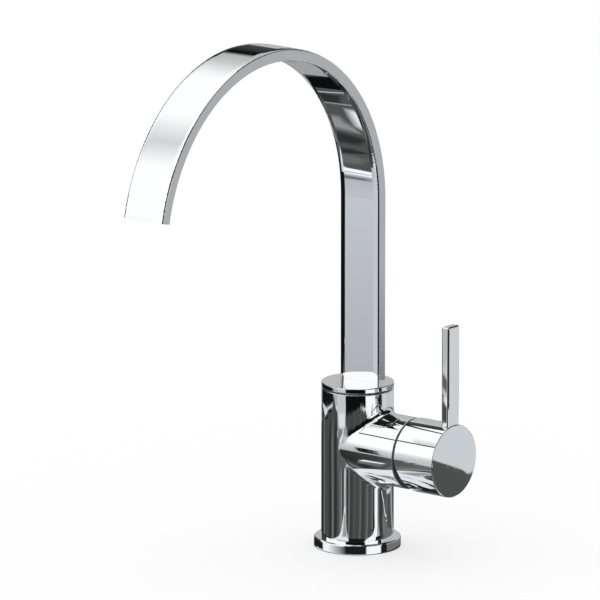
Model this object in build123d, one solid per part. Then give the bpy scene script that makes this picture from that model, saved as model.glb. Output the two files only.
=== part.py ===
"""Single-lever kitchen faucet with a flat ribbon spout and a side lever, in millimetres.

The origin is the centre of the foot on the sink deck. +Z is up, the spout reaches towards -Y, and the
branch with the lever points along +X.
"""
from build123d import *
import math
import os

# Fits
slide_gap = 0.06  # between faces that slide or turn on each other
seat_gap = 0.05  # between pieces that are pushed together and stay

# Foot and barrel
base_radius = 27.2
base_height = 6.5
base_edge = 1.4
base_foot_edge = 0.5
foot_radius = 19.5  # spigot of the barrel inside the base ring
base_seal_width = 3.0
base_seal_depth = 2.0
body_radius = 22.7
body_edge = 0.5

# Threads in the barrel's foot: two hoses and one fixing stud
inlet_radius = 4.5  # M10 x 1, tapping size
inlet_depth = 14.0
inlet_x = -4.0
stud_radius = 3.4  # M8, tapping size
stud_depth = 18.0
stud_x = 9.0

# Side branch
branch_height = 65.6
branch_inset = 0.25  # the branch is this much thinner than the barrel, all round
branch_end = 44.0
branch_edge = 0.25
branch_fillet = 4.0

# Cartridge seat and ports, measured along the branch from the barrel's axis
seat_x = 6.0
cartridge_radius = 17.5
cartridge_gap = 0.3
port_radius = 3.2
inlet_port_y = 7.5
inlet_port_drop = 5.0
outlet_port_rise = 7.5
port_seal_width = 1.3
port_seal_depth = 1.2
peg_radius = 1.5
peg_length = 2.0
peg_y = 11.5
peg_rise = 8.0
foot_plate_thickness = 6.0
disc_pocket_depth = 2.0

# Ceramic discs and the shoe that moves one of them
fixed_disc_radius = 13.5
fixed_disc_thickness = 4.0
moving_disc_radius = 12.4
moving_disc_thickness = 3.5
disc_film = 0.02
mixing_recess_radius = 6.0
mixing_recess_depth = 1.8
carrier_thickness = 6.0
carrier_half_width = 10.4
drive_peg_radius = 1.4
drive_peg_length = 1.6
drive_peg_y = 9.0

# Rotor, housing and pin
rotor_wall = 2.2
rotor_length = 14.0
neck_radius = 11.0
neck_length = 3.6
lip_thickness = 2.0
pin_radius = 2.0
pin_length = 26.0
pin_from_rotor_foot = 12.0

# Lever: full tilt, and the stem's arm below the pin
lever_open_angle = 17.0
stem_width = 8.0
stem_tip_radius = 2.8
stem_neck = 4.4  # thickness between the pin and the rounded tip
stem_arm = 13.0
stem_length = 30.0  # from the pin outwards
slot_room = 0.5

# Nut and dome
thread_radius = 18.9
nut_thickness = 3.0
nut_bore = 12.0
nut_collar_radius = 15.0
nut_collar_height = 2.6
nut_slot_width = 3.0
dome_wall = 1.6
dome_web = 1.6
dome_room = 0.6
slip_inset = 0.3  # of the dome's foot from the branch's outside
slip_thickness = 0.7

# Lever cap
cap_gap = 1.75
cap_length = 29.85
cap_proud = 0.2  # the cap is this much thicker than the barrel, all round
cap_wall = 2.4
cap_end_wall = 4.0
cap_edge = 0.6
cap_mouth_edge = 0.25
relief_margin = 1.0  # degrees beyond the full tilt
boss_radius = 8.5
boss_from_end = 24.0
rib_width = 9.0

# Lever bar
bar_width = 11.4
bar_thickness = 5.7
bar_reach = 85.8  # from the branch's axis to the bar's top
bar_set_back = 0.4
bar_edge = 1.2
tenon_width = 7.0
tenon_thickness = 3.6
tenon_length = 5.0
tenon_boss_wall = 2.0

# Grub screws
lever_screw_radius = 2.5
lever_screw_length = 9.0
spout_screw_radius = 2.0
screw_recess = 1.0
screw_edge = 0.35
socket_share = 0.55  # hexagon's corner radius against the thread's radius
socket_depth = 2.2

# Spout joint
chamber_radius = 16.0
chamber_depth = 15.0
chamber_floor_wall = 3.2  # between the branch's bore and the spout's chamber
glide_thickness = 0.6
glide_inset = 0.9
collar_thickness = 3.3
collar_edge = 0.6
spigot_clearance = 1.0
spigot_bore = 12.0
spigot_seal_section = 1.2
spigot_seal_low = 3.0
spigot_seal_pitch = 3.6
groove_below_top = 3.8
groove_depth = 2.0
groove_room = 0.25

# Spout ribbon
ribbon_width = 30.2
ribbon_thickness = 7.9
ribbon_roll_width = 4.0  # buffed fall of the wide faces towards the edges
ribbon_roll_depth = 1.0
ribbon_wall = 1.2
ribbon_bore_corner = 0.4
ribbon_offset = 5.3  # column's centre behind the barrel's axis
ribbon_seat_depth = 2.0
ribbon_straight = 116.44  # from the collar to where the arch begins
arch_radius = 107.8
arch_angle = 168.0
water_slot_width = 17.0
insert_length = 8.0
insert_channels = 7
insert_rib = 0.8

# Places that follow from the sizes above
branch_radius = body_radius - branch_inset
cap_radius = body_radius + cap_proud
bore_radius = cartridge_radius + cartridge_gap
chamber_floor = branch_height + bore_radius + chamber_floor_wall
body_top = chamber_floor + chamber_depth
cap_start = branch_end + cap_gap
cap_end = cap_start + cap_length
plate_top = seat_x + foot_plate_thickness
fixed_disc_start = plate_top - disc_pocket_depth
fixed_disc_top = fixed_disc_start + fixed_disc_thickness
moving_disc_start = fixed_disc_top + disc_film
moving_disc_top = moving_disc_start + moving_disc_thickness
carrier_top = moving_disc_top + carrier_thickness
rotor_start = carrier_top + slot_room
rotor_top = rotor_start + rotor_length
housing_top = rotor_top + slide_gap + lip_thickness
rotor_radius = cartridge_radius - rotor_wall
pin_x = rotor_start + pin_from_rotor_foot
stem_end = pin_x + stem_length
disc_travel = stem_arm * math.sin(math.radians(lever_open_angle))
nut_top = housing_top + nut_thickness
collar_start = body_top + glide_thickness + slide_gap
collar_top = collar_start + collar_thickness
spigot_radius = chamber_radius - slide_gap
spigot_start = chamber_floor + spigot_clearance
groove_height = body_top - groove_below_top
ribbon_foot = collar_top - ribbon_seat_depth
arch_axis_y = ribbon_offset - arch_radius
arch_start = collar_top + ribbon_straight
bar_top = branch_height + bar_reach
bar_outer = cap_end - bar_set_back
bar_middle = bar_outer - bar_thickness / 2
outlet_way_x = inlet_x
far = 4 * cap_end  # longer than anything that is cut with it

# The branch's own axes: local X is along +Y, local Y is up and local Z runs out along the branch
BRANCH = Plane(origin=(0, 0, branch_height), x_dir=(0, 1, 0), z_dir=(1, 0, 0))
PORTS = [
    (-inlet_port_y, -inlet_port_drop),
    (inlet_port_y, -inlet_port_drop),
    (0, outlet_port_rise),
]
PEGS = [(-peg_y, peg_rise), (peg_y, peg_rise)]


def rod(radius, start, end, x=0.0, y=0.0):
    """A round bar along Z between two heights."""
    return Pos(x, y, (start + end) / 2) * Cylinder(radius, end - start)


def ring(outer, inner, start, end, x=0.0, y=0.0):
    """A flat ring about a line along Z."""
    return rod(outer, start, end, x, y) - rod(inner, start, end, x, y)


def block(width, depth, start, end, x=0.0, y=0.0):
    """A box between two heights, centred on x and y."""
    return Pos(x, y, (start + end) / 2) * Box(width, depth, end - start)


def cross_rod(radius, length, y, z):
    """A round bar along X, centred on x = 0."""
    return Pos(0, y, z) * (Rot(0, 90, 0) * Cylinder(radius, length))


def rims(solid, radius, level):
    """The circular edges of one radius at one height along Z."""
    return [
        edge
        for edge in solid.edges().filter_by(GeomType.CIRCLE)
        if abs(edge.radius - radius) < 1e-4 and abs(edge.arc_center.Z - level) < 1e-4
    ]


def hexagon_socket(radius, start, depth):
    """The cut for a hexagon key in a screw's end face at height start, going down."""
    key = RegularPolygon(radius * socket_share, 6)
    return Pos(0, 0, start - depth) * extrude(key, depth)


def grub_screw(radius, start, end):
    """A headless screw along Z, with its key socket in the upper end."""
    screw = rod(radius, start, end)
    screw = chamfer(rims(screw, radius, start) + rims(screw, radius, end), screw_edge)
    return screw - hexagon_socket(radius, end, socket_depth)


def base_ring():
    ring_solid = ring(base_radius, foot_radius + seat_gap, 0, base_height)
    ring_solid = fillet(rims(ring_solid, base_radius, base_height), base_edge)
    ring_solid = fillet(rims(ring_solid, base_radius, 0), base_foot_edge)
    middle = (base_radius + foot_radius) / 2
    half = base_seal_width / 2 + seat_gap
    return ring_solid - ring(middle + half, middle - half, 0, base_seal_depth)


def base_seal():
    middle = (base_radius + foot_radius) / 2
    half = base_seal_width / 2
    return ring(middle + half, middle - half, 0, base_seal_depth)


def waterways():
    """Every bore that is drilled in the barrel, as one cutter in the barrel's frame."""
    inlet_level = branch_height - inlet_port_drop
    outlet_level = branch_height + outlet_port_rise
    cutter = rod(chamber_radius, chamber_floor, body_top)
    cutter += rod(stud_radius, 0, stud_depth, stud_x)
    cutter += rod(port_radius, outlet_level, chamber_floor, outlet_way_x)
    along = BRANCH * rod(port_radius, outlet_way_x, seat_x, 0, outlet_port_rise)
    cutter += along
    for side in (-1, 1):
        y = side * inlet_port_y
        cutter += rod(inlet_radius, 0, inlet_depth, inlet_x, y)
        cutter += rod(port_radius, inlet_depth, inlet_level, inlet_x, y)
        cutter += BRANCH * rod(port_radius, inlet_x, seat_x, y, -inlet_port_drop)
    return cutter


def branch_bore():
    """The room for the cartridge and its nut, in the branch's frame."""
    bore = rod(bore_radius, seat_x, branch_end)
    bore += rod(thread_radius, housing_top, branch_end)
    for x, y in PEGS:
        bore += rod(peg_radius + seat_gap, seat_x - peg_length - seat_gap, seat_x, x, y)
    return bore


def body_shell():
    barrel = rod(body_radius, base_height, body_top)
    barrel = fillet(rims(barrel, body_radius, body_top), body_edge)
    branch = rod(branch_radius, 0, branch_end)
    branch = BRANCH * fillet(rims(branch, branch_radius, branch_end), branch_edge)
    shell = barrel + branch
    crossing = [
        edge
        for edge in shell.edges()
        if edge.geom_type not in (GeomType.CIRCLE, GeomType.LINE)
    ]
    shell = fillet(crossing, branch_fillet)
    shell += rod(foot_radius, 0, base_height)
    shell -= waterways()
    shell -= BRANCH * branch_bore()
    return shell - spout_screw_hole()


def spout_screw_hole():
    hole = rod(spout_screw_radius + seat_gap, 0, body_radius)
    return Pos(0, 0, groove_height) * (Rot(-90, 0, 0) * hole)


def spout_screw():
    tip = spigot_radius - groove_depth + groove_room
    screw = grub_screw(spout_screw_radius, tip, body_radius - screw_recess)
    return Pos(0, 0, groove_height) * (Rot(-90, 0, 0) * screw)


def seal_rings(start, room):
    """One ring round each port, or with room the groove that takes it."""
    inner = port_radius + seat_gap
    outer = inner + port_seal_width
    end = start + port_seal_depth
    return [ring(outer + room, inner - room, start, end, x, y) for x, y in PORTS]


def port_seals():
    return Compound(children=[BRANCH * seal for seal in seal_rings(seat_x, 0.0)])


def disc_seals():
    start = fixed_disc_start - port_seal_depth
    return Compound(children=[BRANCH * seal for seal in seal_rings(start, 0.0)])


def cartridge_base():
    plate = rod(cartridge_radius, seat_x, plate_top)
    plate -= rod(fixed_disc_radius + seat_gap, fixed_disc_start, plate_top)
    for x, y in PORTS:
        plate -= rod(port_radius, seat_x, plate_top, x, y)
    upper_start = fixed_disc_start - port_seal_depth
    for groove in seal_rings(seat_x, seat_gap) + seal_rings(upper_start, seat_gap):
        plate -= groove
    for x, y in PEGS:
        plate += rod(peg_radius, seat_x - peg_length, seat_x + peg_length, x, y)
    return BRANCH * plate


def fixed_disc():
    disc = rod(fixed_disc_radius, fixed_disc_start, fixed_disc_top)
    for x, y in PORTS:
        disc -= rod(port_radius, fixed_disc_start, fixed_disc_top, x, y)
    return BRANCH * disc


def moving_disc():
    middle = -disc_travel / 2
    disc = rod(moving_disc_radius, moving_disc_start, moving_disc_top, 0, middle)
    recess_top = moving_disc_start + mixing_recess_depth
    disc -= rod(mixing_recess_radius, moving_disc_start, recess_top, 0, middle)
    for side in (-1, 1):
        hole_start = moving_disc_top - drive_peg_length - seat_gap
        disc -= rod(drive_peg_radius + seat_gap, hole_start, moving_disc_top, side * drive_peg_y, middle)
    return BRANCH * disc


def disc_carrier():
    middle = -disc_travel / 2
    shoe = rod(moving_disc_radius, moving_disc_top, carrier_top, 0, middle)
    shoe &= block(2 * carrier_half_width, far, moving_disc_top, carrier_top)
    for side in (-1, 1):
        shoe += rod(
            drive_peg_radius,
            moving_disc_top - drive_peg_length,
            moving_disc_top,
            side * drive_peg_y,
            middle,
        )
    floor = pin_x - stem_arm - stem_tip_radius - slot_room
    slot_width = stem_width + 2 * slot_room
    shoe -= block(slot_width, 2 * (stem_tip_radius + slide_gap), floor, carrier_top)
    return BRANCH * shoe


def cartridge_housing():
    sleeve = ring(cartridge_radius, rotor_radius + slide_gap, plate_top, housing_top)
    lip_start = housing_top - lip_thickness
    sleeve += ring(cartridge_radius, neck_radius + slide_gap, lip_start, housing_top)
    return BRANCH * sleeve


def stem_slot():
    """The window in the rotor that lets the stem tilt one way from upright."""
    tilt = math.radians(lever_open_angle)
    half = stem_width / 2
    outer_reach = rotor_top + neck_length - pin_x
    down = outer_reach * math.tan(tilt) + half / math.cos(tilt) + slot_room
    up = pin_from_rotor_foot * math.tan(tilt) + stem_tip_radius / math.cos(tilt) + slot_room
    width = stem_width + 2 * slide_gap
    return block(width, up + down, rotor_start, rotor_top + neck_length, 0, (up - down) / 2)


def cartridge_rotor():
    rotor = rod(rotor_radius, rotor_start, rotor_top)
    rotor += rod(neck_radius, rotor_top, rotor_top + neck_length)
    guides = rod(rotor_radius, moving_disc_top + slot_room, rotor_start)
    guides -= block(2 * (carrier_half_width + slide_gap), far, moving_disc_top, rotor_start)
    rotor += guides
    rotor -= stem_slot()
    rotor -= cross_rod(pin_radius + seat_gap, pin_length, 0, pin_x)
    return BRANCH * rotor


def pivot_pin():
    return BRANCH * cross_rod(pin_radius, pin_length, 0, pin_x)


def lever_stem():
    tip = pin_x - stem_arm
    stem = block(stem_width, stem_width, pin_x - stem_width / 2, stem_end)
    stem += block(stem_width, stem_neck, tip, pin_x)
    stem += cross_rod(stem_tip_radius, stem_width, 0, tip)
    stem -= cross_rod(pin_radius + seat_gap, stem_width, 0, pin_x)
    return BRANCH * stem


def cartridge_nut():
    nut = ring(thread_radius - seat_gap, nut_bore, housing_top, nut_top)
    nut += ring(nut_collar_radius, nut_bore, nut_top, nut_top + nut_collar_height)
    for turn in (0, 90):
        slot = block(2 * nut_collar_radius, nut_slot_width, nut_top, nut_top + nut_collar_height)
        nut -= Rot(0, 0, turn) * slot
    return BRANCH * nut


def dome_ring():
    """A ball-shaped cover about the pin, so that the cap keeps its distance as it tilts.

    Its foot is a thin slip ring that shows in the gap between branch and cap.
    """
    cap_mouth = math.hypot(cap_start - pin_x, cap_radius - cap_wall)
    ball_radius = cap_mouth - dome_room
    boss_angle = math.asin(boss_radius / ball_radius) + math.radians(lever_open_angle)
    opening = ball_radius * math.sin(boss_angle) + slot_room
    ball = Pos(0, 0, pin_x) * Sphere(ball_radius)
    cavity = Pos(0, 0, pin_x) * Sphere(ball_radius - dome_wall)
    shell = ball - cavity
    shell += ball & rod(ball_radius, branch_end, branch_end + dome_web)
    shell &= rod(ball_radius, branch_end, cap_end)
    shell += rod(branch_radius - slip_inset, branch_end, branch_end + slip_thickness)
    shell -= rod(opening, branch_end, cap_end)
    return BRANCH * (shell - rod(nut_collar_radius + seat_gap, branch_end, branch_end + dome_web))


def relief():
    """The wedge under the cap's rear edge that lets the cap tilt without meeting the branch."""
    slope = math.tan(math.radians(lever_open_angle + relief_margin))
    outline = Polyline(
        (0, cap_start),
        (-far, cap_start + far * slope),
        (-far, cap_start - far),
        (0, cap_start - far),
        close=True,
    )
    return extrude(Plane.YZ * make_face(outline), far, both=True)


def screw_place():
    """Where the lever's grub screw stands along the branch."""
    return stem_end - 2 * lever_screw_radius


def lever_cap():
    inner = cap_radius - cap_wall
    floor = cap_end - cap_end_wall
    cup = rod(cap_radius, cap_start, cap_end)
    cup = fillet(rims(cup, cap_radius, cap_end), cap_edge)
    cup = fillet(rims(cup, cap_radius, cap_start), cap_mouth_edge)
    cup -= rod(inner, cap_start, floor)
    cup += rod(boss_radius, cap_end - boss_from_end, floor)
    rib_place = screw_place()
    cup += block(rib_width, inner, rib_place - rib_width / 2, rib_place + rib_width / 2, 0, -inner / 2)
    tenon_floor = cap_radius - tenon_length - seat_gap
    boss_width = tenon_width + 2 * tenon_boss_wall
    boss_start = bar_middle - tenon_thickness / 2 - tenon_boss_wall
    boss = block(boss_width, tenon_length + tenon_boss_wall, boss_start, floor)
    boss_height = cap_radius - cap_wall / 2 - (tenon_length + tenon_boss_wall) / 2
    cup += Pos(0, boss_height, 0) * boss
    socket = stem_width + 2 * seat_gap
    cup -= block(socket, socket, cap_start, stem_end + seat_gap)
    cup -= Rot(90, 0, 0) * (Pos(0, rib_place, 0) * rod(lever_screw_radius + seat_gap, 0, cap_radius))
    pocket = block(
        tenon_width + 2 * seat_gap,
        cap_radius - tenon_floor,
        bar_middle - tenon_thickness / 2 - seat_gap,
        bar_middle + tenon_thickness / 2 + seat_gap,
    )
    cup -= Pos(0, (cap_radius + tenon_floor) / 2, 0) * pocket
    return BRANCH * (cup - relief())


def lever_bar():
    top = bar_top - branch_height
    bar = block(bar_width, top, bar_middle - bar_thickness / 2, bar_outer, 0, top / 2)
    bar = fillet(bar.edges().filter_by(Axis.Y) + bar.faces().sort_by(Axis.Y)[-1].edges(), bar_edge)
    bar -= rod(cap_radius + seat_gap, cap_start, cap_end)
    tenon_top = cap_radius + tenon_length
    tenon_floor = cap_radius - tenon_length
    tenon = block(
        tenon_width,
        tenon_top - tenon_floor,
        bar_middle - tenon_thickness / 2,
        bar_middle + tenon_thickness / 2,
        0,
        (tenon_top + tenon_floor) / 2,
    )
    return BRANCH * (bar + tenon)


def lever_screw():
    start = stem_width / 2 + slide_gap
    screw = grub_screw(lever_screw_radius, start, start + lever_screw_length)
    return BRANCH * (Rot(90, 0, 0) * (Pos(0, screw_place(), 0) * screw))


def glide_ring():
    outer = body_radius - glide_inset
    return ring(outer, chamber_radius + slide_gap, body_top, body_top + glide_thickness)


def ribbon_section(inset):
    """The ribbon's outline in plan at the column, drawn in by inset on every side.

    The outside falls away to its edges in quarters of an ellipse; the duct has plain round corners.
    """
    width = ribbon_width - 2 * inset
    thickness = ribbon_thickness - 2 * inset
    if inset > 0:
        return Pos(0, ribbon_offset, 0) * RectangleRounded(width, thickness, ribbon_bore_corner)
    across = ribbon_roll_width - inset
    deep = ribbon_roll_depth - inset
    outline = Rectangle(width - 2 * across, thickness) + Rectangle(width, thickness - 2 * deep)
    for x in (across - width / 2, width / 2 - across):
        for y in (deep - thickness / 2, thickness / 2 - deep):
            outline += Pos(x, y) * Ellipse(across, deep)
    return Pos(0, ribbon_offset, 0) * outline


def ribbon(inset, start, first_angle, last_angle):
    """A solid of the ribbon: a straight foot from start, and its arch between two angles."""
    axis = Axis((0, arch_axis_y, arch_start), (1, 0, 0))
    section = Pos(0, 0, arch_start) * ribbon_section(inset)
    arch = revolve(section, axis, last_angle - first_angle)
    if first_angle > 0:
        turn = Pos(0, arch_axis_y, arch_start) * Rot(first_angle, 0, 0)
        return turn * (Pos(0, -arch_axis_y, -arch_start) * arch)
    column = Pos(0, 0, start) * extrude(ribbon_section(inset), arch_start - start)
    return column + arch


def spout_tube():
    return ribbon(0, ribbon_foot, 0, arch_angle) - ribbon(ribbon_wall, ribbon_foot, 0, arch_angle)


def outlet_insert():
    """A comb of channels in the ribbon's open end."""
    span = math.degrees(insert_length / arch_radius)
    plug = ribbon(ribbon_wall + seat_gap, 0, arch_angle - span, arch_angle)
    inner_width = ribbon_width - 2 * (ribbon_wall + seat_gap)
    pitch = (inner_width - insert_rib) / insert_channels
    channel_depth = ribbon_thickness - 2 * (ribbon_wall + seat_gap + insert_rib)
    axis = Axis((0, arch_axis_y, arch_start), (1, 0, 0))
    for place in range(insert_channels):
        x = (place - (insert_channels - 1) / 2) * pitch
        outline = Pos(x, ribbon_offset, arch_start) * Rectangle(pitch - insert_rib, channel_depth)
        plug -= revolve(outline, axis, arch_angle)
    return plug


def swivel_collar():
    disc = rod(body_radius, collar_start, collar_top)
    disc = fillet(rims(disc, body_radius, collar_top) + rims(disc, body_radius, collar_start), collar_edge)
    seat = Pos(0, 0, ribbon_foot) * extrude(ribbon_section(-seat_gap), ribbon_seat_depth)
    slot_depth = ribbon_thickness - 2 * ribbon_wall
    slot = block(water_slot_width, slot_depth, collar_start, collar_top, 0, ribbon_offset)
    return disc - seat - slot


def spout_spigot():
    plug = ring(spigot_radius, spigot_bore, spigot_start, collar_start)
    for middle in spigot_seal_heights():
        half = spigot_seal_section + seat_gap
        groove_floor = spigot_radius - 2 * spigot_seal_section
        plug -= ring(chamber_radius, groove_floor, middle - half, middle + half)
    half = spout_screw_radius + groove_room
    floor = spigot_radius - groove_depth
    return plug - ring(chamber_radius, floor, groove_height - half, groove_height + half)


def spigot_seal_heights():
    first = spigot_start + spigot_seal_low
    return [first, first + spigot_seal_pitch]


def spigot_seals():
    middle_radius = spigot_radius - spigot_seal_section
    section = spigot_seal_section - seat_gap / 2
    return Compound(children=[Pos(0, 0, z) * Torus(middle_radius, section) for z in spigot_seal_heights()])


PIECES = {
    "base_ring": base_ring,
    "base_seal": base_seal,
    "body_shell": body_shell,
    "spout_screw": spout_screw,
    "port_seals": port_seals,
    "cartridge_base": cartridge_base,
    "disc_seals": disc_seals,
    "fixed_disc": fixed_disc,
    "moving_disc": moving_disc,
    "disc_carrier": disc_carrier,
    "cartridge_housing": cartridge_housing,
    "cartridge_rotor": cartridge_rotor,
    "pivot_pin": pivot_pin,
    "lever_stem": lever_stem,
    "cartridge_nut": cartridge_nut,
    "dome_ring": dome_ring,
    "lever_cap": lever_cap,
    "lever_bar": lever_bar,
    "lever_screw": lever_screw,
    "glide_ring": glide_ring,
    "swivel_collar": swivel_collar,
    "spout_spigot": spout_spigot,
    "spigot_seals": spigot_seals,
    "spout_tube": spout_tube,
    "outlet_insert": outlet_insert,
}

os.makedirs("parts", exist_ok=True)
for name, make in PIECES.items():
    export_step(make(), f"parts/{name}.step")
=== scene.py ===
import math

import bpy
from mathutils import Matrix, Vector

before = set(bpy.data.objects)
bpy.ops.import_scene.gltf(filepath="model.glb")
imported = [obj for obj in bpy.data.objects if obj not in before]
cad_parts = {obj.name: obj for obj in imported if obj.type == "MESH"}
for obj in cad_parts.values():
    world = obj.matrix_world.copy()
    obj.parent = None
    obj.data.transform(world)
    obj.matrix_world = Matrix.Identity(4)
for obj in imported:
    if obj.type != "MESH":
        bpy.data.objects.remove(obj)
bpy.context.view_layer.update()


# Foot of the faucet: a turned brass flange under bright chrome plate.
# It covers the hole in the sink deck, and a flat rubber ring in its underside keeps water out.
plate_light = (0.965, 0.97, 0.975, 1.0)
plate_shade = (0.925, 0.935, 0.945, 1.0)


def group_socket(group, way, kind, name, value=None):
    """Add one named socket to a shader node group and give it its starting value."""
    socket = group.interface.new_socket(name=name, in_out=way, socket_type=kind)
    if value is not None:
        socket.default_value = value
    return socket


def add(tree, kind, **settings):
    """Add a node to a tree and set its properties and its inputs by name."""
    node = tree.nodes.new(kind)
    for name, value in settings.items():
        if name in node.inputs:
            node.inputs[name].default_value = value
        else:
            setattr(node, name, value)
    return node


def wiped_polish_group():
    """Buffed and wiped metal: faint clouds, long wipe marks and the slow ripple that buffing leaves."""
    group = bpy.data.node_groups.new("wiped_polish", "ShaderNodeTree")
    group_socket(group, "INPUT", "NodeSocketColor", "Light", plate_light)
    group_socket(group, "INPUT", "NodeSocketColor", "Shade", plate_shade)
    group_socket(group, "INPUT", "NodeSocketFloat", "Clean", 0.03)
    group_socket(group, "INPUT", "NodeSocketFloat", "Hazy", 0.07)
    group_socket(group, "OUTPUT", "NodeSocketColor", "Color")
    group_socket(group, "OUTPUT", "NodeSocketFloat", "Roughness")
    group_socket(group, "OUTPUT", "NodeSocketFloat", "Ripple")
    given = group.nodes.new("NodeGroupInput")
    result = group.nodes.new("NodeGroupOutput")
    place = group.nodes.new("ShaderNodeTexCoord")
    clouds = add(group, "ShaderNodeTexNoise", Scale=38.0, Detail=3.0, Roughness=0.55)
    tint = add(group, "ShaderNodeMix", data_type="RGBA")
    stretch = group.nodes.new("ShaderNodeMapping")
    stretch.inputs["Scale"].default_value = (260.0, 260.0, 34.0)
    marks = add(group, "ShaderNodeTexNoise", Scale=1.0, Detail=4.0, Roughness=0.6, Distortion=0.4)
    haze = add(group, "ShaderNodeMapRange")
    haze.inputs["From Min"].default_value = 0.45
    haze.inputs["From Max"].default_value = 0.75
    ripple = add(group, "ShaderNodeTexNoise", Scale=46.0, Detail=1.0, Roughness=0.3)
    link = group.links.new
    link(place.outputs["Object"], clouds.inputs["Vector"])
    link(clouds.outputs["Fac"], tint.inputs["Factor"])
    link(given.outputs["Shade"], tint.inputs["A"])
    link(given.outputs["Light"], tint.inputs["B"])
    link(place.outputs["Object"], stretch.inputs["Vector"])
    link(stretch.outputs["Vector"], marks.inputs["Vector"])
    link(marks.outputs["Fac"], haze.inputs["Value"])
    link(given.outputs["Clean"], haze.inputs["To Min"])
    link(given.outputs["Hazy"], haze.inputs["To Max"])
    link(place.outputs["Object"], ripple.inputs["Vector"])
    link(tint.outputs["Result"], result.inputs["Color"])
    link(haze.outputs["Result"], result.inputs["Roughness"])
    link(ripple.outputs["Fac"], result.inputs["Ripple"])
    return group


def new_material(name):
    """A material with an empty tree but for its Principled shader and its output."""
    material = bpy.data.materials.new(name)
    material.use_nodes = True
    tree = material.node_tree
    tree.nodes.clear()
    shader = tree.nodes.new("ShaderNodeBsdfPrincipled")
    output = tree.nodes.new("ShaderNodeOutputMaterial")
    tree.links.new(shader.outputs["BSDF"], output.inputs["Surface"])
    return material, tree, shader


def place_group(tree, group, **values):
    """Put a shared node group in a material and set its inputs."""
    node = tree.nodes.new("ShaderNodeGroup")
    node.node_tree = group
    for name, value in values.items():
        node.inputs[name].default_value = value
    return node


def dress(node, material):
    """Give a CAD node one material all over."""
    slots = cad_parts[node].data.materials
    slots.clear()
    slots.append(material)


wiped_polish = wiped_polish_group()


def chrome_plate():
    """Bright chrome over buffed brass: a mirror with a slow ripple and a few wipe marks."""
    material, tree, shader = new_material("chrome_plate")
    shader.inputs["Metallic"].default_value = 1.0
    polish = place_group(tree, wiped_polish, Light=plate_light, Shade=plate_shade, Clean=0.025, Hazy=0.06)
    bump = add(tree, "ShaderNodeBump", Strength=1.0, Distance=0.00002)
    tree.links.new(polish.outputs["Color"], shader.inputs["Base Color"])
    tree.links.new(polish.outputs["Roughness"], shader.inputs["Roughness"])
    tree.links.new(polish.outputs["Ripple"], bump.inputs["Height"])
    tree.links.new(bump.outputs["Normal"], shader.inputs["Normal"])
    return material


chrome = chrome_plate()
dress("base_ring", chrome)


def moulded_grain_group():
    """The skin of moulded rubber, plastic or pressed ceramic: a fine pebble and slow patches."""
    group = bpy.data.node_groups.new("moulded_grain", "ShaderNodeTree")
    group_socket(group, "INPUT", "NodeSocketFloat", "Pebble Scale", 1800.0)
    group_socket(group, "INPUT", "NodeSocketColor", "Light", (0.5, 0.5, 0.5, 1.0))
    group_socket(group, "INPUT", "NodeSocketColor", "Shade", (0.4, 0.4, 0.4, 1.0))
    group_socket(group, "INPUT", "NodeSocketFloat", "Smooth", 0.4)
    group_socket(group, "INPUT", "NodeSocketFloat", "Dull", 0.6)
    group_socket(group, "OUTPUT", "NodeSocketColor", "Color")
    group_socket(group, "OUTPUT", "NodeSocketFloat", "Roughness")
    group_socket(group, "OUTPUT", "NodeSocketFloat", "Pebble")
    given = group.nodes.new("NodeGroupInput")
    result = group.nodes.new("NodeGroupOutput")
    place = group.nodes.new("ShaderNodeTexCoord")
    pebble = add(group, "ShaderNodeTexNoise", Detail=2.0)
    patches = add(group, "ShaderNodeTexNoise", Scale=140.0, Detail=3.0)
    tint = add(group, "ShaderNodeMix", data_type="RGBA")
    gloss = add(group, "ShaderNodeMapRange")
    link = group.links.new
    link(place.outputs["Object"], pebble.inputs["Vector"])
    link(given.outputs["Pebble Scale"], pebble.inputs["Scale"])
    link(place.outputs["Object"], patches.inputs["Vector"])
    link(patches.outputs["Fac"], tint.inputs["Factor"])
    link(given.outputs["Shade"], tint.inputs["A"])
    link(given.outputs["Light"], tint.inputs["B"])
    link(patches.outputs["Fac"], gloss.inputs["Value"])
    link(given.outputs["Smooth"], gloss.inputs["To Min"])
    link(given.outputs["Dull"], gloss.inputs["To Max"])
    link(tint.outputs["Result"], result.inputs["Color"])
    link(gloss.outputs["Result"], result.inputs["Roughness"])
    link(pebble.outputs["Fac"], result.inputs["Pebble"])
    return group


moulded_grain = moulded_grain_group()


def moulded(name, light, shade, smooth, dull, pebble_scale, pebble_height):
    """A material with the moulded skin."""
    material, tree, shader = new_material(name)
    grain = place_group(tree, moulded_grain, Light=light, Shade=shade, Smooth=smooth, Dull=dull)
    grain.inputs["Pebble Scale"].default_value = pebble_scale
    bump = add(tree, "ShaderNodeBump", Strength=1.0, Distance=pebble_height)
    tree.links.new(grain.outputs["Color"], shader.inputs["Base Color"])
    tree.links.new(grain.outputs["Roughness"], shader.inputs["Roughness"])
    tree.links.new(grain.outputs["Pebble"], bump.inputs["Height"])
    tree.links.new(bump.outputs["Normal"], shader.inputs["Normal"])
    return material


seal_rubber = moulded(
    "seal_rubber",
    light=(0.045, 0.045, 0.047, 1.0),
    shade=(0.02, 0.02, 0.022, 1.0),
    smooth=0.55,
    dull=0.75,
    pebble_scale=2600.0,
    pebble_height=0.00003,
)
dress("base_seal", seal_rubber)


# Barrel with its side branch: one brass casting, turned and buffed before it is plated.
# The spout's grub screw sits in a hole at its back.
dress("body_shell", chrome)


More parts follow.
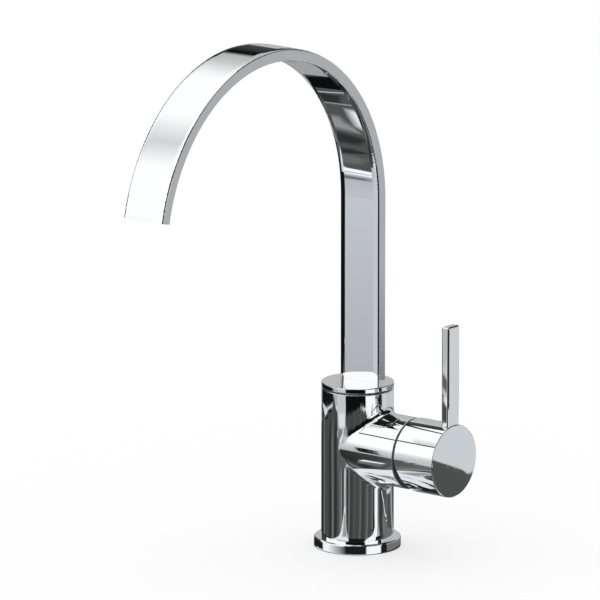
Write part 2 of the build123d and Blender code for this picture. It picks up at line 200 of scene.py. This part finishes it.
def turned_grooves_group():
    """Lathe marks: fine rings at right angles to the axis that the piece was turned about."""
    group = bpy.data.node_groups.new("turned_grooves", "ShaderNodeTree")
    group_socket(group, "INPUT", "NodeSocketFloat", "Along", 0.0)
    group_socket(group, "INPUT", "NodeSocketColor", "Light", (0.8, 0.6, 0.35, 1.0))
    group_socket(group, "INPUT", "NodeSocketColor", "Shade", (0.6, 0.45, 0.25, 1.0))
    group_socket(group, "INPUT", "NodeSocketFloat", "Bright", 0.2)
    group_socket(group, "INPUT", "NodeSocketFloat", "Dull", 0.4)
    group_socket(group, "OUTPUT", "NodeSocketColor", "Color")
    group_socket(group, "OUTPUT", "NodeSocketFloat", "Roughness")
    group_socket(group, "OUTPUT", "NodeSocketFloat", "Groove")
    given = group.nodes.new("NodeGroupInput")
    result = group.nodes.new("NodeGroupOutput")
    place = group.nodes.new("ShaderNodeTexCoord")
    line = add(group, "ShaderNodeTexNoise", noise_dimensions="1D", Scale=5200.0, Detail=2.0)
    stain = add(group, "ShaderNodeTexNoise", Scale=120.0, Detail=4.0)
    tint = add(group, "ShaderNodeMix", data_type="RGBA")
    gloss = add(group, "ShaderNodeMapRange")
    link = group.links.new
    link(given.outputs["Along"], line.inputs["W"])
    link(place.outputs["Object"], stain.inputs["Vector"])
    link(stain.outputs["Fac"], tint.inputs["Factor"])
    link(given.outputs["Shade"], tint.inputs["A"])
    link(given.outputs["Light"], tint.inputs["B"])
    link(line.outputs["Fac"], gloss.inputs["Value"])
    link(given.outputs["Bright"], gloss.inputs["To Min"])
    link(given.outputs["Dull"], gloss.inputs["To Max"])
    link(tint.outputs["Result"], result.inputs["Color"])
    link(gloss.outputs["Result"], result.inputs["Roughness"])
    link(line.outputs["Fac"], result.inputs["Groove"])
    return group


turned_grooves = turned_grooves_group()


def turned(name, light, shade, bright, dull, axis):
    """A turned metal whose lathe marks ring the named axis."""
    material, tree, shader = new_material(name)
    shader.inputs["Metallic"].default_value = 1.0
    place = tree.nodes.new("ShaderNodeTexCoord")
    split = tree.nodes.new("ShaderNodeSeparateXYZ")
    grooves = place_group(tree, turned_grooves, Light=light, Shade=shade, Bright=bright, Dull=dull)
    bump = add(tree, "ShaderNodeBump", Strength=1.0, Distance=0.00001)
    tree.links.new(place.outputs["Object"], split.inputs["Vector"])
    tree.links.new(split.outputs[axis], grooves.inputs["Along"])
    tree.links.new(grooves.outputs["Color"], shader.inputs["Base Color"])
    tree.links.new(grooves.outputs["Roughness"], shader.inputs["Roughness"])
    tree.links.new(grooves.outputs["Groove"], bump.inputs["Height"])
    tree.links.new(bump.outputs["Normal"], shader.inputs["Normal"])
    return material


steel_light = (0.62, 0.62, 0.63, 1.0)
steel_shade = (0.5, 0.5, 0.52, 1.0)
screw_steel = turned("screw_steel", steel_light, steel_shade, 0.22, 0.42, axis="Y")
dress("spout_screw", screw_steel)


# Cartridge in the branch: moulded sleeve, foot, rotor and shoe, with two lapped ceramic discs.
# Rubber rings seal its ports. The stem turns on a steel pin, and a brass nut holds it all in.
white_plastic = moulded(
    "white_plastic",
    light=(0.84, 0.84, 0.82, 1.0),
    shade=(0.78, 0.78, 0.76, 1.0),
    smooth=0.35,
    dull=0.5,
    pebble_scale=1500.0,
    pebble_height=0.00002,
)
dark_plastic = moulded(
    "dark_plastic",
    light=(0.06, 0.06, 0.066, 1.0),
    shade=(0.04, 0.04, 0.044, 1.0),
    smooth=0.38,
    dull=0.55,
    pebble_scale=1500.0,
    pebble_height=0.00002,
)
disc_ceramic = moulded(
    "disc_ceramic",
    light=(0.9, 0.89, 0.86, 1.0),
    shade=(0.84, 0.83, 0.8, 1.0),
    smooth=0.12,
    dull=0.2,
    pebble_scale=4200.0,
    pebble_height=0.000004,
)
brass_light = (0.8, 0.62, 0.34, 1.0)
brass_shade = (0.68, 0.5, 0.25, 1.0)
branch_steel = turned("branch_steel", steel_light, steel_shade, 0.2, 0.38, axis="X")
branch_brass = turned("branch_brass", brass_light, brass_shade, 0.18, 0.36, axis="X")
for piece in ("port_seals", "disc_seals"):
    dress(piece, seal_rubber)
for piece in ("cartridge_base", "cartridge_rotor"):
    dress(piece, dark_plastic)
for piece in ("cartridge_housing", "disc_carrier"):
    dress(piece, white_plastic)
for piece in ("fixed_disc", "moving_disc"):
    dress(piece, disc_ceramic)
for piece in ("pivot_pin", "lever_stem"):
    dress(piece, branch_steel)
dress("cartridge_nut", branch_brass)


# Lever: a chromed cup over a domed cover ring, with a flat bar set upright in its rim.
# A grub screw under the cup clamps it on the cartridge's stem.
for piece in ("lever_cap", "lever_bar"):
    dress(piece, chrome)
# The cover ring is dressed in dark plastic, so the gap under the cup looks black.
dress("dome_ring", dark_plastic)
dress("lever_screw", screw_steel)


# Spout joint: a plastic glide ring and a chromed collar on the barrel's top.
# The collar's brass spigot turns in the barrel on two rubber rings.
spigot_brass = turned("spigot_brass", brass_light, brass_shade, 0.18, 0.36, axis="Z")
dress("glide_ring", dark_plastic)
dress("swivel_collar", chrome)
dress("spout_spigot", spigot_brass)
dress("spigot_seals", seal_rubber)


# Spout: a flat rectangular tube, bent into one high arch, buffed and plated.
# A moulded comb in its open end straightens the water.
dress("spout_tube", chrome)
dress("outlet_insert", white_plastic)


# Studio: a white floor under even white light, which both the camera and the matt surfaces see.
# Only the metal sees the cards: dark boards round the foot with pale gaps, flats and walls beyond them.
mm = 0.001
floor_half = 12.0
floor_drop = 0.0001
shadow_share = 0.45
card_step = 0.0001


def stage_mesh(name, points, faces, material):
    """One stage piece from its points and faces."""
    mesh = bpy.data.meshes.new(name)
    mesh.from_pydata(points, [], faces)
    mesh.materials.append(material)
    piece = bpy.data.objects.new(name, mesh)
    bpy.context.scene.collection.objects.link(piece)
    return piece


def floor_paint():
    """White paint; the camera sees the object's shadow on it at a share of its depth."""
    material = bpy.data.materials.new("floor_paint")
    material.use_nodes = True
    tree = material.node_tree
    tree.nodes.clear()
    matt = add(tree, "ShaderNodeBsdfDiffuse", Color=(1.0, 1.0, 1.0, 1.0))
    glow = add(tree, "ShaderNodeEmission", Color=(1.0, 1.0, 1.0, 1.0), Strength=1.0)
    path = tree.nodes.new("ShaderNodeLightPath")
    share = add(tree, "ShaderNodeMath", operation="MULTIPLY")
    share.inputs[1].default_value = 1.0 - shadow_share
    blend = tree.nodes.new("ShaderNodeMixShader")
    output = tree.nodes.new("ShaderNodeOutputMaterial")
    tree.links.new(path.outputs["Is Camera Ray"], share.inputs[0])
    tree.links.new(share.outputs["Value"], blend.inputs["Fac"])
    tree.links.new(matt.outputs["BSDF"], blend.inputs[1])
    tree.links.new(glow.outputs["Emission"], blend.inputs[2])
    tree.links.new(blend.outputs["Shader"], output.inputs["Surface"])
    material.cycles.emission_sampling = "NONE"
    return material


square = [(-1, -1), (1, -1), (1, 1), (-1, 1)]
floor = stage_mesh(
    "floor",
    [(x * floor_half, y * floor_half, -floor_drop) for x, y in square],
    [(0, 1, 2, 3)],
    floor_paint(),
)
floor.visible_glossy = False


def card_paint(tone):
    """A card's tone, as the metal sees it; its cover value thins it out where its edge is soft."""
    material = bpy.data.materials.new("card_paint")
    material.use_nodes = True
    tree = material.node_tree
    tree.nodes.clear()
    glow = add(tree, "ShaderNodeEmission", Color=(*tone, 1.0), Strength=1.0)
    clear = tree.nodes.new("ShaderNodeBsdfTransparent")
    cover = add(tree, "ShaderNodeAttribute", attribute_name="cover")
    blend = tree.nodes.new("ShaderNodeMixShader")
    output = tree.nodes.new("ShaderNodeOutputMaterial")
    tree.links.new(cover.outputs["Fac"], blend.inputs["Fac"])
    tree.links.new(clear.outputs["BSDF"], blend.inputs[1])
    tree.links.new(glow.outputs["Emission"], blend.inputs[2])
    tree.links.new(blend.outputs["Shader"], output.inputs["Surface"])
    material.cycles.emission_sampling = "NONE"
    return material


def card(name, points, tone, faces=None, cover=None):
    """A studio card that only the metal sees, with how much it covers at each point."""
    piece = stage_mesh(name, points, faces or [tuple(range(len(points)))], card_paint(tone))
    share = piece.data.attributes.new("cover", "FLOAT", "POINT")
    share.data.foreach_set("value", cover or [1.0] * len(points))
    piece.visible_camera = False
    piece.visible_diffuse = False
    piece.visible_shadow = False
    piece.visible_transmission = False
    return piece


def grey(level):
    """A grey with the cool tint of the studio's paper."""
    return (level * 0.955, level, level * 1.035)


def slate(level):
    """A grey with the green tint of the boards."""
    return (level * 0.93, level * 1.02, level * 0.985)


def polar(azimuth, radius, layer):
    """A point on the floor: degrees from the front towards the right, and millimetres from the foot.

    The cards lie in layers just under the floor's level, and a smaller layer lies above a larger one.
    """
    a = math.radians(azimuth)
    return (mm * radius * math.sin(a), -mm * radius * math.cos(a), -card_step * layer)


def flat(name, corners, tone, layer):
    """A card on the floor from its corners, each an azimuth and a distance."""
    return card(name, [polar(a, r, layer) for a, r in corners], tone)


sector_degrees = 3.0


def sector(name, inner, outer, first, last, tone, layer, far_cover=1.0):
    """A card on the floor: part of a ring between two azimuths, which may thin out towards its far edge."""
    steps = max(2, int(abs(last - first) / sector_degrees))
    angles = [first + (last - first) * i / steps for i in range(steps + 1)]
    points = [polar(a, r, layer) for r in (inner, outer) for a in angles]
    faces = [(i, i + 1, steps + i + 2, steps + i + 1) for i in range(steps)]
    return card(name, points, tone, faces, [1.0] * (steps + 1) + [far_cover] * (steps + 1))


camera_azimuth = 38.03
barrel_radius = 22.7


def mirrored(turn, run, layer):
    """The point on the floor, this far out, that the barrel mirrors to the camera at one turn of its side."""
    side = math.radians(turn)
    way = math.radians(2.0 * turn - camera_azimuth)
    x = mm * (barrel_radius * math.sin(side) + run * math.sin(way))
    y = -mm * (barrel_radius * math.cos(side) + run * math.cos(way))
    return (x, y, -card_step * layer)


stripe_start = 30.0
stripe_fade = 0.75


def stripe(name, sides, shares, reach, tone, layer):
    """A card that the barrel mirrors upright, with how much it covers at each side; it fades far out."""
    count = len(sides)
    runs = (stripe_start, stripe_fade * reach, reach)
    points = [mirrored(turn, run, layer) for run in runs for turn in sides]
    firsts = [row + i for row in (0, count) for i in range(count - 1)]
    faces = [(i, i + 1, i + count + 1, i + count) for i in firsts]
    return card(name, points, tone, faces, [*shares, *shares, *[0.0] * count])


def streak(turn, half_width, reach, tone, layer):
    """A line of light or shade on the barrel that fades to both sides."""
    sides = (turn - half_width, turn, turn + half_width)
    return stripe("streak", sides, (0.0, 1.0, 0.0), reach, tone, layer)


def band(first, last, blur, reach, tone, layer):
    """A band of light or shade on the barrel with firm sides."""
    sides = (first - blur, first, last, last + blur)
    return stripe("band", sides, (0.0, 1.0, 1.0, 0.0), reach, tone, layer)


ring_radius = 46.5
ring_step = 3.5
ring_top = 9.0
ring_run = 23.0


def ring_streak(turn, half_width, tone):
    """The foot of a streak, upright just inside the low ring."""
    foot = [mirrored(t, ring_run, 0) for t in (turn - half_width, turn, turn + half_width)]
    points = [(x, y, mm * z) for z in (ring_step, ring_top) for x, y, level in foot]
    faces = [(0, 1, 4, 3), (1, 2, 5, 4)]
    return card("ring_streak", points, tone, faces, [0.0, 1.0, 0.0] * 2)


corner_limit = 0.3


def soft(name, corners, height, tone, feather):
    """A level card at a height, from its corners in millimetres, that fades out past its outline."""
    count = len(corners)
    spots = [Vector(c) for c in corners]
    area = sum(a.x * b.y - b.x * a.y for a, b in zip(spots, spots[1:] + spots[:1]))
    sense = 1.0 if area > 0 else -1.0
    rim = []
    for i, spot in enumerate(spots):
        before = (spot - spots[i - 1]).normalized()
        after = (spots[(i + 1) % count] - spot).normalized()
        out = Vector((before.y + after.y, -before.x - after.x)) * sense
        rim.append(spot + out * (feather / max(corner_limit, 0.5 * out.length_squared)))
    points = [(mm * p.x, mm * p.y, mm * height) for p in spots + rim]
    faces = [tuple(range(count))]
    faces += [(i, (i + 1) % count, count + (i + 1) % count, count + i) for i in range(count)]
    return card(name, points, tone, faces, [1.0] * count + [0.0] * count)


wall_degrees = 6.0


def wall(name, first, last, radius, bottom, top, tone, fade=(0.0, 0.0)):
    """An upright card round the foot between two azimuths, which may thin out past its ends."""
    steps = max(1, int(abs(last - first) / wall_degrees))
    arc = [first + (last - first) * i / steps for i in range(steps + 1)]
    angles = [first - fade[0], *arc, last + fade[1]]
    ring = [polar(a, radius, 0)[:2] for a in angles]
    points = [(x, y, mm * z) for z in (bottom, top) for x, y in ring]
    count = len(angles)
    faces = [(i, i + 1, count + i + 1, count + i) for i in range(count - 1)]
    cover = [0.0] + [1.0] * (count - 2) + [0.0]
    return card(name, points, tone, faces, cover * 2)


# Far flats on the floor: a pale sweep all round, grey flats behind, and black and white ones in front.
# Two grey ones thin out towards their far edge, and a wisp for the lever's front lies among them.
far = 3000
sector("sweep", 1, far, -180, 180, grey(0.59), layer=14)
sector("near_sweep", 300, 1000, -50, -30, grey(0.43), layer=13, far_cover=0.0)
sector("far_back", 915, far, 119, 205, grey(0.43), layer=13)
sector("far_back", 430, 930, 139.4, 205, grey(0.43), layer=13)
sector("near_back", 430, 800, 139.4, 205, grey(0.22), layer=12, far_cover=0.0)
sector("pale_back", 270, 915, 124, 139.3, grey(0.64), layer=13)
sector("back_left", 330, far, -160, -112, grey(0.37), layer=13)
sector("dark_back_left", 800, far, -208, -112, grey(0.03), layer=12)
sector("black_front", 300, far, 0, 62, grey(0.004), layer=13)
sector("white_right", 300, far, 63, 105, grey(1.0), layer=13)
sector("dark_right", 290, far, 107, 119, grey(0.015), layer=12)
sector("dark_far_right", 480, far, 63, 105, grey(0.03), layer=12)
sector("black_left", 300, far, -112, -43.5, grey(0.006), layer=12)
flat("grey_wisp", [(-30.1, 484), (-28.8, 446), (-28.35, 413), (-29.75, 453)], grey(0.09), layer=11)

# Dark walls and canopies round the far edge of the flats.
# A small flag close to the column keeps its left edge black.
wall("front_wall", 0, 62, 2900, 0, 2500, grey(0.004))
wall("front_canopy", 12, 60, 2000, 1700, 3900, grey(0.01))
wall("right_post", 106, 120, 2000, 0, 820, grey(0.015))
wall("left_wall", -112, -48, 2900, 0, 400, grey(0.006))
wall("left_canopy", -125, -79, 2500, 220, 1600, grey(0.05))
wall("left_canopy", -79, -66, 2500, 220, 600, grey(0.05))
wall("right_canopy", 55, 185, 2000, 800, 5500, grey(0.01))
wall("column_flag", -124, -57, 40, 136, 190, grey(0.006))

# Dark boards round the foot with pale edges, and gaps and wisps between them.
# Streaks and bands of light run out over them, which the barrel mirrors upright.
board_tone = slate(0.066)
left_board = [
    (-12, 235), (-20, 250), (-24, 272), (-26.5, 387), (-33, 391), (-37, 405), (-40.5, 425), (-43, 425),
    (-46, 396), (-52, 384), (-56, 374), (-61, 378), (-66, 374), (-71, 356), (-77, 350), (-84, 358),
    (-99, 356), (-124, 330), (-124, 29), (-96, 29), (-75, 29), (-40, 29), (-36, 40), (-28, 48), (-18, 56),
    (-12, 60),
]
front_board = [
    (-1.5, 378), (9, 387), (24.5, 396), (40, 408), (50, 404), (55, 396), (62, 396), (65, 385),
    (67.5, 366), (88, 355), (88, 62), (76, 60), (66, 58), (60, 55), (20, 60), (8, 75), (-1.5, 98),
]
right_board = [
    (101, 300), (110, 305), (120, 312), (127, 318), (129.6, 318), (130.1, 311.5), (131, 302), (131.8, 293),
    (132.15, 287), (132.25, 279.5), (132.5, 278.5), (133.3, 285), (135, 262), (137, 240), (139, 158),
    (160, 158), (160, 34), (130, 34), (101, 60),
]
back_board = [(172, 250), (205, 280), (234, 330), (234, 40), (205, 34), (172, 40)]
for corners, tone in (
    (left_board, board_tone),
    (front_board, board_tone),
    (right_board, slate(0.08)),
    (back_board, slate(0.078)),
):
    flat("board", corners, tone, layer=8)
for corners in (
    [(-27.6, 390), (-33, 394), (-33, 403), (-27.8, 400)],
    [(-46, 399), (-58, 390), (-68, 381), (-68, 390), (-58, 398), (-46, 408)],
    [(-68, 381), (-80, 364), (-86, 356), (-91, 362), (-97, 376), (-104, 384), (-104, 392), (-90, 388),
     (-80, 384), (-68, 390)],
    [(46, 404), (55, 396), (62, 396), (62, 406), (55, 408), (46, 410)],
):
    flat("pale_edge", corners, grey(0.75), layer=9)
sector("dark_gap", 200, 345, 87, 108, grey(0.02), layer=7)
sector("pale_gap", 287, 326, -22, -2, grey(0.6), layer=7)
sector("grey_gap", 326, 348, -11, 4, grey(0.33), layer=7)
sector("pale_gap", 348, 385, -22, -2, grey(0.78), layer=7)
sector("gap", 60, 300, 160, 172, grey(0.35), layer=7)
flat(
    "dark_wisp",
    [(-29.1, 424), (-28.62, 412), (-28.35, 402), (-28.1, 391), (-27.8, 383), (-27.4, 369), (-28, 369)],
    slate(0.05),
    layer=8,
)
flat(
    "white_wisp",
    [(-28.35, 402), (-28.1, 401), (-27.6, 388), (-27, 369), (-27.4, 374), (-27.85, 384), (-28.1, 391)],
    grey(0.9),
    layer=7,
)
flat(
    "dark_edge",
    [(7, 338), (14, 347), (33, 356), (52, 366), (52, 318), (20, 318), (9, 324), (7, 328)],
    grey(0.004),
    layer=5,
)
flat("pale_corner", [(-2, 309), (-2, 325), (3, 325), (9, 322), (9, 309)], grey(0.55), layer=5)
flat(
    "dark_saddle",
    [(-27, 284), (-12, 284), (0, 262), (1, 238), (-12, 236), (-27, 232)],
    slate(0.11),
    layer=5,
)
rim_curve = [(-22.7, 297), (-19.5, 308), (-15.2, 319), (-12, 327), (-9.5, 335), (-9, 344)]
flat("grey_corner", [(-25, 290), *rim_curve, (-25, 344)], grey(0.2), layer=5)
flat(
    "white_rim",
    [*rim_curve, (-6.5, 344), (-7, 335), (-9, 326), (-12, 318), (-16, 307), (-19.5, 297), (-21, 290)],
    grey(0.9),
    layer=4,
)
flat("white_spot", [(-25.9, 316), (-26.9, 316), (-27, 333), (-26, 333)], grey(1.0), layer=4)
first_ring_turn = 22
last_ring_turn = 58
for turn, half_width, reach, level in (
    (-38, 6, 380, 0.006), (-28.5, 2.5, 380, 0.2), (-12, 4, 370, 0.022), (-5.5, 3, 370, 0.18),
    (-0.5, 4.5, 380, 0.026), (9, 5, 290, 0.16), (20.5, 2, 330, 0.03), (23.4, 2, 330, 0.17),
    (27.3, 3.5, 380, 0.045), (31.8, 2.5, 380, 0.09), (41.2, 2.8, 380, 0.125), (45.6, 2.2, 380, 0.04),
    (52.4, 3, 380, 0.15), (60.8, 2.5, 300, 0.15), (64, 1.8, 300, 0.012), (72, 2, 250, 0.2),
    (77, 4, 250, 0.032), (90, 5, 158, 0.15), (17.6, 2.2, 260, 0.62),
):
    streak(turn, half_width, reach, slate(level), layer=6)
    if first_ring_turn < turn < last_ring_turn:
        ring_streak(turn, half_width, slate(level))
band(12.8, 14.9, 1.1, 310, slate(0.02), layer=5.8)
band(66.9, 69.9, 1.3, 260, slate(1.0), layer=6)
soft(
    "thin_line",
    [(155, 71), (120, 75.5), (95, 66), (63, 61), (63, 63.5), (95, 69), (120, 78.5), (155, 74.5)],
    height=-0.5,
    tone=grey(1.0),
    feather=1.3,
)

# Close round the foot: the floor that the branch and the cap see, and threads of light under the branch.
# A low ring stands where the barrel's lower end sees it, and a lower one round the flange.
soft(
    "front_floor",
    [(-29, -35), (-25, -44), (-20, -52), (-14, -60), (-11, -69), (-9.5, -80), (-9, -90), (-8, -112),
     (-4, -138), (2, -138), (6, -112), (8, -92), (9, -82), (11, -72), (15, -64), (20, -57), (36, -44),
     (40, -20), (33, -10), (26, -14), (0, -29), (-19, -22)],
    height=-0.45,
    tone=grey(0.82),
    feather=2.0,
)
soft(
    "grey_floor",
    [(-1, -66), (-1, -80), (-2, -120), (2, -120), (5, -92), (6, -82), (8, -72), (9, -66)],
    height=-0.43,
    tone=grey(0.33),
    feather=6.0,
)
flat(
    "black_floor",
    [(-80, 45), (-68, 50), (-55, 50), (-47, 46), (-47, 29), (-80, 29)],
    grey(0.006),
    layer=5,
)
soft(
    "side_floor",
    [(38, -27), (45, -29), (51, -28), (58, -22), (64, -15), (69, -11), (75, -7.5), (82, -5.5), (82, 6),
     (69, 3.5), (59, 1.5), (49, 0.5), (42, 4)],
    height=-0.45,
    tone=grey(0.95),
    feather=0.8,
)
flat(
    "pale_board",
    [(114, 52), (115, 95), (119, 120), (127, 100), (131, 77), (150, 66), (165, 58), (165, 50), (125, 50)],
    slate(0.165),
    layer=7,
)
for first, last, inner, outer, level in (
    (60, 125, 29, 42, 0.02), (99, 105, 42, 60, 0.01), (125, 165, 29, 50, 0.1),
):
    sector("side_floor", inner, outer, first, last, grey(level), layer=5)
ring_first = 16
ring_last = 54
for first, last, bottom, top, tone in (
    (ring_first, ring_last, ring_step, ring_top, board_tone),
    (ring_first, ring_last, 0, ring_step, grey(0.01)),
    (84, 100, 0, ring_step, grey(0.015)),
):
    wall("foot_ring", first, last, ring_radius, bottom, top, tone)
ring_end = [(ring_last, 3.4), (58.6, 3.9), (66, 5.4), (73, 6.8), (77.5, 8.6)]
card(
    "foot_ring_end",
    [(*polar(a, ring_radius, 0)[:2], mm * z) for a, bottom in ring_end for z in (bottom, ring_top)],
    board_tone,
    [(i, i + 2, i + 3, i + 1) for i in range(0, 2 * len(ring_end) - 2, 2)],
)
thread_height = 52.5
thread_gap = 0.2
soft(
    "grey_thread",
    [(9.5, -34), (26, -36), (26, -29.5), (9.5, -29)],
    height=thread_height,
    tone=slate(0.16),
    feather=1.5,
)
soft(
    "white_thread",
    [(8.6, -33.9), (17, -34.9), (24, -36.2), (24, -37.9), (17, -37.3), (9.3, -36.9)],
    height=thread_height + thread_gap,
    tone=grey(0.9),
    feather=1.7,
)
flange_ring_radius = 30.0
flange_light_radius = 29.9
flange_ring_bottom = -0.1
flange_ring_top = 5.8
wall("flange_ring", -125, 165, flange_ring_radius, flange_ring_bottom, flange_ring_top, grey(0.012))
for first, last, level, fade in (
    (-19, -9, 0.95, (3.5, 30)), (52, 72.5, 0.97, (2.5, 2)), (86, 165, 0.17, (2, 0)),
):
    wall(
        "flange_light",
        first,
        last,
        flange_light_radius,
        flange_ring_bottom,
        flange_ring_top,
        grey(level),
        fade,
    )
# Painted shade: a dark card fills the floor under the flange and stands in for its contact shadow, which the
# flange's lower edge mirrors as a dark line.
sector("painted_contact_shadow", 1, 29, -180, 180, grey(0.02), layer=4)

# Papers hung level under the arch, which only the inside of the spout sees.
# Those that the start of its bend mirrors hang lower.
paper = 150.0
low_paper = 40.0
for name, corners, lift, tone, feather in (
    ("dark_sheet", [(-230, -184), (-264, -259), (-265, -275), (-242, -281), (-193, -189), (-188, -178)],
     0.0, slate(0.085), 2.0),
    ("white_line", [(-245, -282), (-265, -278), (-262, -262), (-267, -262), (-281, -298), (-254, -300)],
     0.4, grey(1.0), 1.8),
    ("white_line", [(-258, -307), (-286, -309), (-290, -317), (-265, -318)], 0.4, grey(0.95), 1.8),
    ("grey_line", [(-285, -337), (-302, -337), (-317, -357), (-293, -352)], 0.4, grey(0.17), 8.0),
):
    soft(name, corners, low_paper + lift, tone, feather)
for name, corners, lift, tone, feather in (
    ("dark_sheet", [(-96, 20), (-122, 16), (-136, 8), (-124, -40), (-118, -95), (-118, -99), (-90, -96),
                    (-84, -90), (-76, -60), (-78, -30), (-88, 0)], 0.0, slate(0.085), 1.0),
    ("black_bag", [(-97, 17), (-128, 11), (-140, 8), (-156, 34), (-146, 47), (-132, 68), (-117, 72)],
     0.2, grey(0.004), 0.6),
    ("dark_patch", [(-104, -4), (-122, -3), (-116, -18), (-102, -17)], 0.2, slate(0.03), 5.0),
    ("dark_patch", [(-88, -72), (-94, -77), (-112, -77), (-112, -70), (-104, -68)], 0.2, slate(0.03), 6.0),
    ("dark_patch", [(-88, -91), (-114, -95), (-114, -91), (-100, -90)], 0.2, slate(0.03), 4.5),
    ("pale_patch", [(-88, -33), (-83, -33), (-80, -54), (-84, -50)], 0.3, grey(0.85), 8.0),
    ("pale_patch", [(-103, -46), (-112, -46), (-112, -54), (-99, -57), (-88, -62), (-100, -52)],
     0.3, grey(0.3), 7.0),
    ("pale_patch", [(-114, -102), (-102, -104), (-108, -110), (-120, -111)], 0.3, slate(0.15), 7.0),
    ("white_edge", [(-129, -78), (-129, -98), (-150, -128), (-176, -104), (-150, -84)],
     0.3, grey(0.75), 2.0),
    ("grey_edge", [(-129, -50), (-129, -98), (-150, -128), (-188, -92), (-172, -50)],
     0.2, grey(0.13), 2.0),
    ("pale_line", [(-100, 9), (-112, 4), (-124, 0.5), (-124, -1), (-112, 2), (-100, 7)],
     0.4, grey(0.6), 0.5),
    ("pale_line", [(-90, -18.5), (-114, -20.5), (-114, -21.5), (-90, -19.5)], 0.4, grey(0.42), 0.5),
):
    soft(name, corners, paper + lift, tone, feather)


# Upright cards: a black flag for the top of the arch, a grey haze for the spout's front and a far horizon.
# A thin bar hangs in front of the branch, and a stick stands before it.
def graded(name, middle, across, rise, rows, tone):
    """A card in rows, each with its height up the card and how much it covers there."""
    points = [middle + rise * height + across * end for height, share in rows for end in (-1, 1)]
    faces = [(i, i + 1, i + 3, i + 2) for i in range(0, 2 * len(rows) - 2, 2)]
    return card(name, points, tone, faces, [share for height, share in rows for end in (-1, 1)])


graded(
    "flag",
    middle=Vector((-0.25, 0.22, 0.454)),
    across=Vector((0.75, 0.66, 0.0)).normalized() * 0.4,
    rise=Vector((0.0, 0.0, 0.055)),
    rows=((-1.55, 0.0), (-1.4, 0.87), (0.0, 0.95), (0.6, 1.0), (1.05, 1.0), (1.6, 0.0)),
    tone=grey(0.006),
)
graded(
    "haze",
    middle=Vector((-0.187, -0.31, 0.495)),
    across=Vector((-0.789, 0.324, -0.52)) * 0.1,
    rise=Vector((0.0, 0.857, 0.515)),
    rows=((-0.085, 0.0), (0.0, 1.0), (0.11, 0.0)),
    tone=grey(0.69),
)
graded(
    "horizon",
    middle=Vector((-1.475, -2.4, 0.0)),
    across=Vector((0.575, -0.35, 0.0)),
    rise=Vector((0.0, 0.0, 1.0)),
    rows=((0.0, 1.0), (0.25, 0.9), (0.7, 0.0)),
    tone=grey(0.63),
)
bar_middle = Vector((-0.1, -0.158, 0.235))
bar_half = Vector((0.085, 0.005, 0.0045))
card(
    "bar",
    [bar_middle + Vector((a * bar_half.x, b * bar_half.y, b * bar_half.z)) for a, b in square],
    grey(0.01),
)
stick_middle = Vector((-0.2925, -0.454, 0.046))
stick_half = Vector((0.0095, 0.0, 0.046))
card(
    "stick",
    [stick_middle + Vector((a * stick_half.x, 0.0, b * stick_half.z)) for a, b in square],
    grey(0.01),
)


# Light: an even white dome, at which a colour renders as it is written.
# The metal sees it fall off softly towards the back.
world = bpy.data.worlds.new("studio_dome")
bpy.context.scene.world = world
world.use_nodes = True
sky = world.node_tree
sky.nodes.clear()
dome = add(sky, "ShaderNodeBackground", Color=(1.0, 1.0, 1.0, 1.0), Strength=1.0)
mirror_dome = add(sky, "ShaderNodeBackground", Strength=1.0)
aim = sky.nodes.new("ShaderNodeTexCoord")
axes = sky.nodes.new("ShaderNodeSeparateXYZ")
fall = add(sky, "ShaderNodeMapRange", interpolation_type="SMOOTHSTEP")
fall.inputs["From Min"].default_value = 0.3
fall.inputs["From Max"].default_value = 0.66
fall.inputs["To Min"].default_value = 1.05
fall.inputs["To Max"].default_value = 0.5
path = sky.nodes.new("ShaderNodeLightPath")
choice = sky.nodes.new("ShaderNodeMixShader")
sky_out = sky.nodes.new("ShaderNodeOutputWorld")
sky.links.new(aim.outputs["Generated"], axes.inputs["Vector"])
sky.links.new(axes.outputs["Y"], fall.inputs["Value"])
sky.links.new(fall.outputs["Result"], mirror_dome.inputs["Color"])
sky.links.new(path.outputs["Is Glossy Ray"], choice.inputs["Fac"])
sky.links.new(dome.outputs["Background"], choice.inputs[1])
sky.links.new(mirror_dome.outputs["Background"], choice.inputs[2])
sky.links.new(choice.outputs["Shader"], sky_out.inputs["Surface"])


# Camera: a long lens, from the front right and a little above.
# Its place and its focal length come from a fit to the edges of the photograph.
camera_dip = 13.19
turn = math.radians(camera_azimuth)
dip = math.radians(camera_dip)
camera_distance = 5.41939
camera_target = Vector((0.0, 0.0, 0.15))
right_shift = -0.03595
up_shift = 0.0071
picture_side = 600.0
focal_pixels = 8705.53
right = Vector((math.cos(turn), math.sin(turn), 0.0))
back = Vector((math.sin(turn) * math.cos(dip), -math.cos(turn) * math.cos(dip), math.sin(dip)))
up = back.cross(right)
lens = bpy.data.cameras.new("long_lens")
lens.sensor_width = 36.0
lens.lens = focal_pixels / picture_side * lens.sensor_width
lens.clip_end = 100.0
camera = bpy.data.objects.new("camera", lens)
bpy.context.scene.collection.objects.link(camera)
camera_place = camera_target + right * right_shift + up * up_shift + back * camera_distance
camera_axes = Matrix((right, up, back)).transposed().to_4x4()
camera.matrix_world = Matrix.Translation(camera_place) @ camera_axes
bpy.context.scene.camera = camera
bpy.context.scene.view_settings.view_transform = "Standard"
